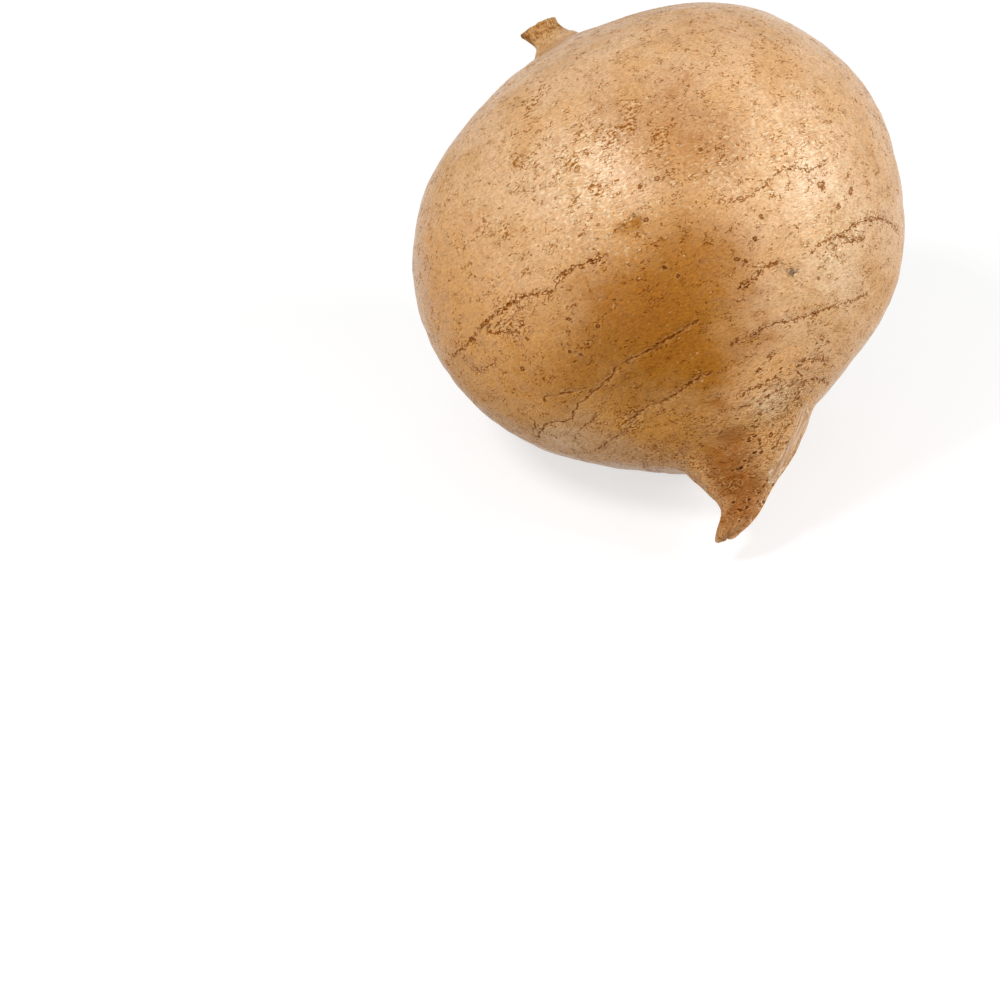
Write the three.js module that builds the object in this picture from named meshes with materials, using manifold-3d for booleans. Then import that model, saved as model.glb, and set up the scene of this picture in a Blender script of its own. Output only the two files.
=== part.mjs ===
// A whole, unpeeled jicama root: a squat turnip-shaped tuber with a short pointed tail,
// and the woody stub of the vine that was cut off above its crown.
// Millimetres and degrees. The finished part rests on its underside, +Z up, with the
// middle of its flat resting spot at the origin.
//
// The tuber is first drawn upright in its own frame: its axis is Z, the crown is up,
// the tail is down and the widest girth is at Z 0. Places on it are given as on a globe:
// latitude 90 is the crown, -90 is the tail, and longitude 0 runs down the underside.
import * as THREE from "three";
import { mergeVertices } from "three/addons/utils/BufferGeometryUtils.js";
import Module from "manifold-3d";

// The tuber's outline from tail to crown: height along the axis, and radius.
const outline = [
  [-79, 0],
  [-78.6, 3.6],
  [-76.4, 5.4],
  [-72, 6.9],
  [-67, 11],
  [-62, 15],
  [-57.3, 19.2],
  [-52, 29.4],
  [-44, 42],
  [-33, 53.2],
  [-18, 60.6],
  [0, 63.6],
  [17, 61],
  [32, 52.5],
  [42, 39.8],
  [48.5, 24],
  [52.2, 14],
  [54.2, 9.2],
  [55.6, 6.8],
  [57.2, 5.6],
  [57.2, 0],
];
const crownHeight = 55;
const tailLength = 79;

// The tail hooks to one side, the crown grew off the axis, and one shoulder stands higher.
// Each grows with its power of the way from the widest girth to that end.
const tailBend = { shift: 17, towards: 65, power: 7 };
const crownShift = { shift: 6, towards: 130, power: 4 };
const shoulderRise = { slope: 0.085, towards: -115, power: 2 };

// The girth isn't round: each lobe swells it this share of its radius.
const lobes = [
  { count: 2, share: 0.012, towards: 30 },
  { count: 3, share: 0.008, towards: 100 },
  { count: 5, share: 0.004, towards: 10 },
];

// Broad swellings and hollows: where, how high, and how wide.
const swellings = [
  { longitude: -20, latitude: -58, height: 4.2, width: 22 }, // the full underside
  { longitude: 150, latitude: -68, height: 3.5, width: 16 }, // where the tail runs in
  { longitude: 65, latitude: -12, height: 1, width: 20 },
  { longitude: -115, latitude: -45, height: 0.9, width: 14 },
];

// How the root lies: its axis leans over from upright, and its crown points this way.
const lean = 54;
const heading = 120;
const flatSpotDepth = 1.4; // how much of the round underside is pressed flat
const tableSize = 300; // the block that presses it, well past the tuber all round
const onTable = 0.001; // anything lower than this lies on the table

// The vine's stub: its outline above the crown's flat neck, height and radius. It spreads
// at its foot and again at its cut end, which grew over to one side.
const stubOutline = [
  [0.4, 0],
  [0.4, 5.5],
  [1.6, 4.9],
  [3.2, 4.5],
  [5, 4.6],
  [6.8, 5.1],
  [7.2, 4.5],
  [7.3, 0],
];
const stubLean = { angle: 5, towards: 65 };
const stubDrift = { shift: 1.8, towards: 65 };
const stubRidges = { count: 5, share: 0.04, towards: 20 };
// The cut runs across it at a slant, higher on this side; its bark rises with the cut.
const stubSlant = { slope: 0.3, towards: -25, power: 3 };

// Facets.
const ringsPerSpan = 2;
const tuberSides = 72;
const stubSides = 24;

const radians = THREE.MathUtils.degToRad;

// A level unit vector that points along a longitude.
function along(longitude) {
  const a = radians(longitude);
  return new THREE.Vector3(Math.cos(a), Math.sin(a), 0);
}

// A unit vector from the tuber's middle to a place on the globe.
function globeDirection(longitude, latitude) {
  const b = radians(latitude);
  return along(longitude).multiplyScalar(Math.cos(b)).setZ(Math.sin(b));
}

// How much evenly spaced lobes swell the radius at an angle, as a factor.
function lobeFactor(angle, lobeList) {
  return lobeList.reduce(
    (factor, lobe) =>
      factor + lobe.share * Math.cos(lobe.count * (angle - radians(lobe.towards))),
    1,
  );
}

const tuberCurve = new THREE.SplineCurve(
  outline.map(([height, radius]) => new THREE.Vector2(height, radius)),
);

// The tuber's skin, upright: t runs from 0 at the tail to 1 at the crown, and the angle
// goes round.
function tuberPoint(t, angle) {
  const { x: height, y: radius } = tuberCurve.getPoint(t);
  const r = Math.max(radius, 0) * lobeFactor(angle, lobes);
  const point = new THREE.Vector3(r * Math.cos(angle), r * Math.sin(angle), height);
  const up = THREE.MathUtils.clamp(height / crownHeight, 0, 1);
  const down = THREE.MathUtils.clamp(-height / tailLength, 0, 1);
  const rise = shoulderRise.slope * point.dot(along(shoulderRise.towards));
  point.z += rise * up ** shoulderRise.power;
  for (const [bend, share] of [[tailBend, down], [crownShift, up]])
    point.addScaledVector(along(bend.towards), bend.shift * share ** bend.power);
  const outwards = point.clone().normalize();
  let swell = 0;
  for (const place of swellings) {
    const away = outwards.angleTo(globeDirection(place.longitude, place.latitude));
    swell += place.height * Math.exp(-((away / radians(place.width)) ** 2));
  }
  return point.addScaledVector(outwards, swell);
}

// One closed skin over pointAt(t, angle), with a single vertex at each end.
function closedSkin(pointAt, rings, sides) {
  const positions = [...pointAt(0, 0).toArray()];
  for (let ring = 1; ring < rings; ring++)
    for (let side = 0; side < sides; side++)
      positions.push(
        ...pointAt(ring / rings, (side / sides) * 2 * Math.PI).toArray(),
      );
  positions.push(...pointAt(1, 0).toArray());
  const last = positions.length / 3 - 1;
  const vertex = (ring, side) => 1 + (ring - 1) * sides + (side % sides);
  const faces = [];
  for (let side = 0; side < sides; side++) {
    faces.push(0, vertex(1, side + 1), vertex(1, side));
    for (let ring = 1; ring < rings - 1; ring++) {
      const [a, b] = [vertex(ring, side), vertex(ring, side + 1)];
      const [c, d] = [vertex(ring + 1, side), vertex(ring + 1, side + 1)];
      faces.push(a, b, d, a, d, c);
    }
    faces.push(last, vertex(rings - 1, side), vertex(rings - 1, side + 1));
  }
  return new THREE.BufferGeometry()
    .setAttribute("position", new THREE.Float32BufferAttribute(positions, 3))
    .setIndex(faces);
}

const stubCurve = new THREE.SplineCurve(
  stubOutline.map(([height, radius]) => new THREE.Vector2(height, radius)),
);
const stubHeight = stubOutline.at(-1)[0];

// The stub's bark, upright, from its foot to its slanted cut end. It drifts sideways as it
// rises.
function stubPoint(t, angle) {
  const { x: height, y: radius } = stubCurve.getPoint(t);
  const r = Math.max(radius, 0) * lobeFactor(angle, [stubRidges]);
  const point = new THREE.Vector3(r * Math.cos(angle), r * Math.sin(angle), height);
  const slant = stubSlant.slope * point.dot(along(stubSlant.towards));
  point.z += slant * (height / stubHeight) ** stubSlant.power;
  const drift = stubDrift.shift * THREE.MathUtils.smoothstep(height, 0, stubHeight);
  return point.addScaledVector(along(stubDrift.towards), drift);
}

const wasm = await Module();
wasm.setup();

// A closed geometry as a solid that can be joined and cut.
function toSolid(geometry) {
  const bare = new THREE.BufferGeometry()
    .setAttribute("position", geometry.getAttribute("position"))
    .setIndex(geometry.index);
  const merged = mergeVertices(bare, 1e-4);
  return new wasm.Manifold(
    new wasm.Mesh({
      numProp: 3,
      vertProperties: merged.attributes.position.array,
      triVerts: new Uint32Array(merged.index.array),
    }),
  );
}

// A cut solid as a geometry again.
function toGeometry(solid) {
  const { vertProperties, triVerts } = solid.getMesh();
  const geometry = new THREE.BufferGeometry()
    .setAttribute("position", new THREE.BufferAttribute(vertProperties, 3))
    .setIndex(new THREE.BufferAttribute(triVerts, 1));
  geometry.computeVertexNormals();
  return geometry;
}

// Upright shapes, in the tuber's own frame.
const tuberRings = (outline.length - 1) * ringsPerSpan;
const tuberSkin = closedSkin(tuberPoint, tuberRings, tuberSides);
const stubRings = (stubOutline.length - 1) * ringsPerSpan;
const stubAxis = globeDirection(stubLean.towards, 90 - stubLean.angle);
const up = new THREE.Vector3(0, 0, 1);
const neckTop = tuberPoint(1, 0);
const stubSkin = closedSkin(stubPoint, stubRings, stubSides)
  .applyQuaternion(new THREE.Quaternion().setFromUnitVectors(up, stubAxis))
  .translate(neckTop.x, neckTop.y, neckTop.z);

// Lay them over, and lower them until the flat spot's level is at Z 0.
const layOver = new THREE.Matrix4()
  .makeRotationZ(radians(heading))
  .multiply(new THREE.Matrix4().makeRotationY(radians(lean)));
for (const skin of [tuberSkin, stubSkin]) skin.applyMatrix4(layOver);
tuberSkin.computeBoundingBox();
const lift = -tuberSkin.boundingBox.min.z - flatSpotDepth;
for (const skin of [tuberSkin, stubSkin]) skin.translate(0, 0, lift);

// Press the flat spot with a solid table below Z 0.
const table = new THREE.BoxGeometry(tableSize, tableSize, tableSize);
table.translate(0, 0, -tableSize / 2);
const tuberGeometry = toGeometry(toSolid(tuberSkin).subtract(toSolid(table)));

// Bring the middle of the flat spot to the origin.
const flatSpot = new THREE.Box3();
const corner = new THREE.Vector3();
const tuberPositions = tuberGeometry.getAttribute("position");
for (let i = 0; i < tuberPositions.count; i++) {
  corner.fromBufferAttribute(tuberPositions, i);
  if (corner.z < onTable) flatSpot.expandByPoint(corner);
}
const middle = flatSpot.getCenter(new THREE.Vector3());
for (const geometry of [tuberGeometry, stubSkin])
  geometry.translate(-middle.x, -middle.y, 0);

const tuber = new THREE.Mesh(
  tuberGeometry,
  new THREE.MeshStandardMaterial({ color: "#d2a26c", roughness: 0.5, metalness: 0 }),
);
tuber.name = "tuber";

const vineStub = new THREE.Mesh(
  stubSkin,
  new THREE.MeshStandardMaterial({ color: "#a87944", roughness: 0.85, metalness: 0 }),
);
vineStub.name = "vine_stub";

const jicama = new THREE.Group();
jicama.add(tuber, vineStub);

export default jicama;
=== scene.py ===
import bpy
import math
import numpy as np
from functools import partial
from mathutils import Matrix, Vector


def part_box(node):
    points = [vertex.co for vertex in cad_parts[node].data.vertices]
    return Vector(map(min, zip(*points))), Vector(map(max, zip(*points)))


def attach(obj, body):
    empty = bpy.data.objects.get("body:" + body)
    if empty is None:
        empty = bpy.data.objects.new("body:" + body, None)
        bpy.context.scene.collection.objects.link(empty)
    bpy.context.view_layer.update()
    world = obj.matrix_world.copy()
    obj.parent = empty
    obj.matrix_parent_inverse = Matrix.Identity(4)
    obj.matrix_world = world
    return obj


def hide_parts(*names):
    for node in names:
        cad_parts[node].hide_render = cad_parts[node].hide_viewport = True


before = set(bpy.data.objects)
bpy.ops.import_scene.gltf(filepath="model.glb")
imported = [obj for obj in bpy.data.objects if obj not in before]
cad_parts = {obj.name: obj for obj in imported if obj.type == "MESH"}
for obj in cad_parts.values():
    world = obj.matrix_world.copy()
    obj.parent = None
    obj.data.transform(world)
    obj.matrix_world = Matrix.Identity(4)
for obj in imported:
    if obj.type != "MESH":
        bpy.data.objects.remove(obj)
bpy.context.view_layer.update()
print("frame loaded with", ", ".join(sorted(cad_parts)))

millimetre = 0.001  # shapes are worked out in millimetres, and the scene is in metres
farAway = 1e9  # further than anything on the root
scene = bpy.context.scene
mixBase, mixTint, mixResult = 6, 7, 2  # a Mix node's two colour inputs and its colour output


# sRGB hex to linear: c / 12.92 up to 0.04045, and ((c + 0.055) / 1.055) to the 2.4 above it
def linearColour(hexText):
    parts = [int(hexText[i:i + 2], 16) / 255 for i in (1, 3, 5)]
    return tuple(c / 12.92 if c <= 0.04045 else ((c + 0.055) / 1.055) ** 2.4
                 for c in parts) + (1.0,)


# the level unit vector along a longitude: (cos, sin, 0)
def along(longitude):
    a = math.radians(longitude)
    return np.array([math.cos(a), math.sin(a), 0.0])


# unit vectors from the tuber's middle to places on its globe: cos(latitude) times the level
# vector along the longitude, and sin(latitude) up
def globeDirection(longitude, latitude):
    a, b = np.radians(longitude), np.radians(latitude)
    return np.stack([np.cos(b) * np.cos(a), np.cos(b) * np.sin(a), np.sin(b) + 0 * a], -1)


# the angle in degrees between each direction and a globe place: arccos of their dot product
def degreesFrom(directions, longitude, latitude):
    return np.degrees(np.arccos(np.clip(directions @ globeDirection(longitude, latitude), -1, 1)))


# 3 x^2 - 2 x^3, where x is how far value has come from low to high, held at 0 and 1
def smoothStep(low, high, value):
    x = np.clip((value - low) / (high - low), 0, 1)
    return x * x * (3 - 2 * x)


# Catmull-Rom spline: on each span the cubic whose slope at a point is half the step between
# its neighbours, with the end points doubled; share runs from 0 to 1, evenly over the spans
def splineAt(points, share):
    points = np.array(points, float)
    last = len(points) - 1
    place = np.asarray(share, float) * last
    span = np.minimum(place.astype(int), last - 1)
    f = (place - span)[..., None]
    p0, p1, p2, p3 = (points[np.clip(span + k, 0, last)] for k in (-1, 0, 1, 2))
    s1, s2 = (p2 - p0) / 2, (p3 - p1) / 2
    cubic, square = 2 * p1 - 2 * p2 + s1 + s2, 3 * p2 - 3 * p1 - 2 * s1 - s2
    return cubic * f ** 3 + square * f ** 2 + s1 * f + p1


# sum of plane waves with seeded random directions and phases, each 0.7 to 1.5 times the
# wavelength long, divided by the root of their count so that it mostly stays between -1 and 1
def waveNoise(places, wavelength, seed, count=22):
    random = np.random.default_rng(seed)
    ways = random.normal(size=(count, 3))
    ways /= np.linalg.norm(ways, axis=1, keepdims=True)
    lengths = wavelength * random.uniform(0.7, 1.5, count)
    phases = random.uniform(0, 2 * math.pi, count)
    turns = places @ (ways * (2 * math.pi / lengths[:, None])).T
    return np.sin(turns + phases).sum(-1) / math.sqrt(count)


# waves of a height: the height times waveNoise of the places, each axis first times its squeeze,
# so that a squeeze under 1 draws the waves out along that axis
def ripples(places, kind):
    squeezed = places * kind.get("squeeze", 1)
    return kind["height"] * waveNoise(squeezed, kind["wavelength"], kind["seed"])


# how much evenly spaced lobes swell a radius at an angle: 1, and for each kind its share times
# cos(count (angle - towards))
def lobeFactor(angle, lobes):
    factor = 1 + 0 * angle
    for lobe in lobes:
        swing = np.cos(lobe["count"] * (angle - math.radians(lobe["towards"])))
        factor = factor + lobe["share"] * swing
    return factor


# t for rings that lie evenly along an outline, and how far along it each lies: the outline's
# length, summed over fine steps, read backwards
def evenRings(outline, rings, fineSteps=4000):
    t = np.linspace(0, 1, fineSteps + 1)
    steps = np.linalg.norm(np.diff(splineAt(outline, t), axis=0), axis=1)
    length = np.concatenate([[0], np.cumsum(steps)])
    runs = np.linspace(0, length[-1], rings)
    return np.interp(runs, length, t), runs


# unit normals of a grid closed round its second parameter: the cross product of the steps along
# the two parameters, and at each pole the mean of the ring beside it
def gridNormals(points):
    around = np.roll(points, -1, 1) - np.roll(points, 1, 1)
    normals = np.cross(around, np.gradient(points, axis=0))
    normals[0] = normals[1].mean(0)
    normals[-1] = normals[-2].mean(0)
    return normals / np.maximum(np.linalg.norm(normals, axis=-1, keepdims=True), 1e-9)


# one row per vertex from a grid whose first and last rings are single points
def perVertex(grid):
    middle = grid[1:-1].reshape((-1,) + grid.shape[2:])
    return np.concatenate([grid[:1, 0], middle, grid[-1:, 0]])


# a closed mesh over a grid of points in millimetres: a fan at each pole and four-sided faces
# between, all turned outwards for a grid that climbs and turns counter-clockwise; attributes
# are grids too
def closedMesh(name, points, attributes):
    rings, sides = points.shape[:2]
    side = np.arange(sides)
    ring = np.arange(rings - 3)[:, None] * sides + 1
    a, b = ring + side, ring + (side + 1) % sides
    quads = np.stack([a, b, b + sides, a + sides], -1).reshape(-1, 4)
    last = (rings - 2) * sides + 1
    top = last - sides
    tail = np.stack([0 * side, 1 + (side + 1) % sides, 1 + side], -1)
    crown = np.stack([0 * side + last, top + side, top + (side + 1) % sides], -1)
    mesh = bpy.data.meshes.new(name)
    faces = quads.tolist() + tail.tolist() + crown.tolist()
    mesh.from_pydata((perVertex(points) * millimetre).tolist(), [], faces)
    mesh.polygons.foreach_set("use_smooth", [True] * len(mesh.polygons))
    for key, grid in attributes.items():
        values = perVertex(grid).astype(np.float32)
        kind, field = ("FLOAT", "value") if values.ndim == 1 else ("FLOAT_VECTOR", "vector")
        mesh.attributes.new(key, kind, "POINT").data.foreach_set(field, values.ravel())
    mesh.update()
    piece = bpy.data.objects.new(name, mesh)
    scene.collection.objects.link(piece)
    return piece


# adds a node, sets its settings, links each input that is a socket and writes the others'
# values, and gives back the output asked for
def addNode(tree, kind, inputs, output=0, **settings):
    node = tree.nodes.new("ShaderNode" + kind)
    for key, value in settings.items():
        setattr(node, key, value)
    for key, value in inputs.items():
        if isinstance(value, bpy.types.NodeSocket):
            tree.links.new(value, node.inputs[key])
        else:
            node.inputs[key].default_value = value
    return node.outputs[output] if node.outputs else node


# empties the node tree of a material or a world, and gives back addNode for that tree
def emptyTree(owner):
    owner.use_nodes = True
    owner.node_tree.nodes.clear()
    return partial(addNode, owner.node_tree)


# works out named values step by step: each step is a name, an operation and what goes in, where a
# name stands for a pattern, a mark or an earlier step. RAMP goes straight from its first number to
# its second and gives 0 to 1, or what the next two say; LENGTH is the root of the squares' sum;
# MULTIPLY_ADD is the first times the second, plus the third; COMPARE is 1 where the first is
# within the third of the second, and else 0.
def workOut(node, steps, values):
    for name, operation, *inputs in steps:
        inputs = {place: values[item] if isinstance(item, str) else item
                  for place, item in enumerate(inputs)}
        if operation == "RAMP":
            values[name] = node("MapRange", inputs)
        elif operation == "LENGTH":
            values[name] = node("VectorMath", {0: node("CombineXYZ", inputs)}, "Value",
                                operation="LENGTH")
        else:
            values[name] = node("Math", inputs, operation=operation)


# paints layers over a base colour: each is blended in by smoothStep of what it follows, from
# where it starts to where it is full, times its share there
def paintLayers(node, finish, base, layers, values):
    colour = linearColour(finish[base])
    for follows, start, full, most, tint, blend in layers:
        share = node("MapRange", {0: values[follows], 1: start, 2: full, 4: most},
                     interpolation_type="SMOOTHSTEP")
        colour = node("Mix", {0: share, mixBase: colour, mixTint: linearColour(finish[tint])},
                      mixResult, data_type="RGBA", blend_type=blend)
    return colour


# a finish's relief in millimetres: the sum of what stands up or lies deep, each times its height
def addUpRelief(node, finish, values):
    height = 0.0
    for name, size in finish["relief"].items():
        height = node("Math", {0: values[name], 1: size, 2: height}, operation="MULTIPLY_ADD")
    return height


# The tuber's skin is drawn upright: the crown is up, the tail is down and the widest girth is at
# height 0. Places on it are longitude and latitude as on a globe: latitude 90 is the crown, and
# longitude 0 runs down the underside. Sizes are millimetres.
tuber = {
    "outline": [  # height along the axis and radius, from tail to crown
        (-79, 0), (-78.6, 3.6), (-76.4, 5.4), (-72, 6.9), (-67, 11), (-62, 15), (-57.3, 19.2),
        (-52, 29.4), (-44, 42), (-33, 53.2), (-18, 60.6), (0, 63.6), (17, 61), (32, 52.5),
        (42, 39.8), (48.5, 24), (52.2, 14), (54.2, 9.2), (55.6, 6.8), (57.2, 5.6), (57.2, 0),
    ],
    "crownHeight": 55,
    "tailLength": 79,
    "tailBend": {"shift": 17, "towards": 65, "power": 7},
    "crownShift": {"shift": 6, "towards": 130, "power": 4},
    "shoulderRise": {"slope": 0.085, "towards": -115, "power": 2},
    "lobes": [
        {"count": 2, "share": 0.012, "towards": 30},
        {"count": 3, "share": 0.008, "towards": 100},
        {"count": 5, "share": 0.004, "towards": 10},
    ],
    "swellings": [  # longitude, latitude, height and width in degrees
        (-20, -58, 4.2, 22), (150, -68, 3.5, 16), (65, -12, 1, 20), (-115, -45, 0.9, 14),
    ],
    "lean": 54,
    "heading": 120,
    "rings": 206,
    "sides": 480,
    "tailGirth": 9,  # radius at which the tail's fibres are as fine as they are said to be
    "tailSkin": (-58, -76),  # heights between which the skin turns to the tail's
    "neckSkin": (46, 56),  # and to the neck's
    "lumps": [
        {"height": 0.3, "wavelength": 42, "seed": 0},
        {"height": 0.07, "wavelength": 15, "seed": 1},
        {"height": 0.05, "wavelength": 6, "seed": 2},
    ],
    "growthRings": {"height": 0.05, "wavelength": 4.5, "squeeze": (0.12, 0.12, 1), "seed": 7},
    "tailCreases": {
        "height": 0.3, "wavelength": 2.8, "squeeze": (1, 1, 0.16), "seed": 8,
        "grow": (-54, -70),  # the heights between which they grow
    },
    "neckPleats": {
        "height": 0.16, "count": 17, "grow": (44, 54), "fade": (57.4, 56.5),
        "wander": {"height": 0.8, "wavelength": 20, "seed": 9},  # its height is in radians
    },
    # Scars run round the girth where the skin split as the root swelled: places along each, how
    # strong it is, and how much of it is an open crack rather than a row of corky beads.
    "scars": [
        ([(79, -10), (90, -12), (103, -12), (114, -13), (122, -16), (126, -14),
          (139, -16)], 1.0, 0.1),
        ([(98, -13), (103, -16), (107, -18), (112, -17)], 0.9, 0),
        ([(84, -16), (90, -19), (98, -19)], 0.5, 0),
        ([(163, -15), (171, -17), (176, -16), (181, -14), (186, -14), (191, -15),
          (197, -13)], 0.55, 0.05),
        ([(161, -36), (166, -35), (172, -33), (178, -33)], 0.8, 0),
        ([(184, -34), (190, -31), (197, -30), (203, -28), (215, -27), (228, -29)], 0.8, 0.05),
        ([(191, -34), (197, -32), (202, -32), (208, -31)], 0.6, 0),
        ([(154, -47), (163, -48), (171, -47), (182, -48), (196, -47), (217, -44)], 1.0, 0.1),
        ([(66, -36), (84, -37), (92, -41), (101, -40), (116, -40), (123, -38)], 1, 0.8),
        ([(122, -38), (130, -39), (140, -39), (152, -38)], 0.8, 0.45),
        ([(94, -35), (96, -33), (103, -36), (111, -39)], 0.8, 0.5),
        ([(85, -32), (82, -35), (75, -35), (69, -37)], 0.8, 0.6),
        ([(70, -49), (86, -52), (98, -54), (112, -52), (124, -53), (136, -52),
          (148, -52)], 1, 0.35),
        ([(152, -60), (160, -61), (169, -61), (176, -60)], 0.7, 0.2),
        ([(142, -63), (155, -65), (172, -65), (190, -66), (210, -67), (236, -68)], 0.8, 0.3),
        ([(178, -59), (190, -60), (200, -61), (214, -62)], 0.7, 0.1),
        ([(181, -61), (189, -64), (187, -66), (191, -69), (188, -71), (184, -72)], 0.8, 1),
        ([(109, -77), (135, -78)], 0.6, 0.8),
    ],
    # the same kind of scars, seeded, round the side that lies away: each is a row of places that
    # wanders off its latitude, and a gap follows it, all in degrees
    "farScars": {
        "seed": 11, "latitudes": [-9, -20, -32, -41, -50, -60],
        "from": -112, "to": 58, "lead": 20,
        "reach": (25, 60), "between": 10, "gap": (5, 25), "off": (-4, 4), "wander": 1.2,
        "strength": (0.5, 1), "openness": (0, 0.6),
    },
    "grooves": {
        "depth": 0.2, "width": 0.8,
        "lip": 0.5, "lipAway": 1.7,  # the lips' share of the depth, and how far out they stand
        "taper": 3,  # how much of a scar's length fades at each end
        "full": 1.5, "reach": 4,  # a scar is felt in full this near, and not at all this far
        "flecked": (2.6, 0.4), "flecks": 0.12,  # flecks gather between these distances
    },
    # Small round pocks where rootlets were: longitude, latitude and radius.
    "pocks": [
        (192, -19, 1.5), (201, -21, 1), (196, -24, 0.9), (165, -29, 0.8), (167, -30, 0.7),
        (171, -26, 0.7), (174, -22, 0.7), (148, -24, 0.7), (150, -27, 0.7), (151, -6, 0.7),
        (155, -6, 0.7), (139, -9, 0.5), (149, -13, 0.7), (147, -11, 0.5), (108, -21, 0.6),
        (121, -23, 0.6), (126, -28, 0.6), (115, -29, 0.7), (117, -31, 0.6), (100, -25, 0.8),
        (169, -55, 0.9), (163, -57, 0.8), (194, -56, 0.6), (201, -56, 0.8), (185, -75, 1),
        (170, -74, 0.9), (181, -77, 0.8), (159, -69, 0.8), (208, -38, 0.5), (218, -38, 0.6),
        (189, -39, 0.5),
    ],
    # the same, seeded, round the side that lies away and crowded on the tail
    "seededPocks": [  # seed, count, and the least and the most longitude, latitude and radius
        (5, 34, (-112, 62), (-66, 30), (0.5, 1.1)),
        (8, 34, (150, 222), (-80, -60), (0.3, 0.7)),
        (9, 24, (-60, 60), (-82, -62), (0.3, 0.7)),
    ],
    "pockDips": {
        "depth": 0.16, "radii": (0.5, 1),  # none up to the first radius, and all from the second
        "full": 3, "reach": 5,  # a pock is felt in full this near, and not at all this far
    },
    # Soft-edged patches, each a list of longitude, latitude, width in degrees and strength.
    "patches": {
        # partly the skin's own deeper ochre, partly painted shade, darkest in the middle below and
        # between the highlights
        "ochre": [
            (143, -36, 16, 0.8), (146, -24, 11, 0.45), (124, -32, 15, 0.5), (128, -46, 15, 0.35),
            (146, -52, 11, 0.5), (116, -56, 14, 0.2), (108, -30, 14, 0.35), (96, -38, 14, 0.22),
            (156, -16, 9, 0.5), (165, -26, 10, 0.38), (159, -32, 11, 0.4), (167, -50, 8, 0.3),
            (130, -20, 11, 0.3), (147, -12.5, 1.5, 0.9), (144, -12, 1.3, 0.7),
            (142, -12, 1.2, 0.5), (-30, -20, 25, 0.6), (30, 20, 18, 0.4),
        ],
        # partly the skin's golden tone, partly painted warm bounce light on the underside and
        # lower left, and painted shade below the left highlight
        "golden": [
            (92, 2, 22, 0.65), (84, -20, 16, 0.2), (92, -36, 26, 0.45), (108, -62, 19, 0.8),
            (174, -60, 12, 0.4), (112, -28, 14, 0.4), (-145, -68, 13, 0.3), (172, -72, 10, 0.3),
            (-175, 28, 14, 0.35), (140, -20, 16, 0.5), (-10, -40, 30, 0.8), (-80, 0, 30, 0.4),
        ],
        # partly pale skin, partly a painted highlight where the lamps shine and painted light near
        # the tail
        "cream": [
            (190, -74, 8, 0.3), (168, -66, 7, 0.5), (140, 1, 10, 0.35), (84, -44, 6, 0.8),
            (77, -42, 6, 0.6), (168, -10, 4, 0.4), (-157, -29, 9, 0.35), (158, -66, 7, 0.3),
            (181, -19, 13, 0.6), (192, -36, 8, 0.6), (202, -48, 11, 0.3), (165, 38, 16, 0.2),
            (205, 20, 16, 0.1), (0, 10, 20, 0.5), (-60, 25, 16, 0.5),
        ],
        "ashen": [
            (140, -46, 9, 0.3), (97, -43, 5, 0.9), (83, -42, 6, 0.6), (87, -52, 5, 0.8),
            (122, -48, 5, 0.5), (80, -58, 9, 0.7), (172, -10, 8, 0.6), (178, -30, 9, 0.5),
            (-60, -50, 14, 0.6),
        ],
        # painted shade, mostly on the middle between the two highlights
        "dusky": [
            (163, -2, 12, 0.8), (153, 13, 12, 0.45), (171, -4, 8, 0.35), (170, 12, 12, 0.3),
            (184, 26, 10, 0.2), (20, 40, 20, 0.4),
        ],
        "fleckle": [
            (140, 6, 1.6, 1.2), (142, -2, 1.6, 1.2), (150, 7, 2.4, 1.3), (155, 7, 1.7, 1.1),
            (157, 12, 1.6, 1.1), (157, 0, 1.6, 1.1), (160, 3, 1.7, 1.1), (128, 14, 2.2, 1),
            (136, 26, 2.4, 1), (119, 2, 1.6, 1.1), (110, -14, 4, 0.5), (107, -18, 3, 0.7),
            (140, 6, 16, 0.1), (190, -10, 9, 0.1), (108, -52, 3, 1.2), (101, -53, 2, 1.1),
            (83, -64, 6, 0.6), (124, -65, 5, 0.5), (91, -72, 6, 0.5), (180, -73, 9, 0.4),
            (-10, 10, 20, 0.3), (-70, -10, 4, 1.2), (110, -84, 10, 0.2), (-90, 12, 3, 1.3),
            (20, -10, 3, 1.2), (-20, 15, 3, 1.3),
        ],
        "rough": [
            (184, -72, 10, 1.3), (165, -70, 8, 0.9), (205, -66, 8, 0.8), (150, -80, 8, 0.6),
            (-30, -76, 12, 0.8), (60, -80, 10, 0.5),
        ],
        "bare": [
            (146, -38, 20, 0.8), (112, -62, 24, 0.9), (76, -42, 24, 0.9), (145, -12, 3, 0.8),
            (68, -10, 22, 0.9), (120, -85, 14, 0.9), (212, -48, 14, 0.5), (100, 52, 26, 0.9),
            (104, 20, 16, 0.8), (160, 62, 24, 0.6), (-160, 50, 26, 0.9), (-140, -66, 14, 0.8),
            (-125, 8, 22, 0.9), (-122, -35, 24, 0.9), (-20, -50, 40, 0.5),
        ],
        # painted highlight: pale sparkle laid where the lamps' highlights fall
        "sheen": [
            (142, 0, 14, 1), (168, -10, 6, 0.5), (172, 6, 12, 0.2), (190, -10, 16, 0.9),
            (194, -34, 12, 0.6), (120, 20, 25, 0.3),
        ],
        "smudge": [
            (180, -36, 1.5, 1.1), (177, -34, 2.4, 0.5), (250, 5, 3, 0.3), (-40, -34, 2.5, 0.5),
        ],
        # partly real brown stain on the tail, partly painted shade down the tail's shaded left
        # side
        "stain": [
            (106, -77, 6, 0.8), (116, -82, 4, 0.4), (-60, -80, 9, 0.5), (141, -60, 3, 0.5),
            (139, -69, 4, 0.4), (137, -74, 6, 0.6), (109, -52, 2.2, 0.8), (140, -34, 14, 0.6),
        ],
    },
    # The strip on the tail where the skin is worn down to pale fibres.
    "wornStrip": {
        "path": [(214, -76.5), (210, -79), (204, -81.5), (190, -83.5), (160, -85.5)],
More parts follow.
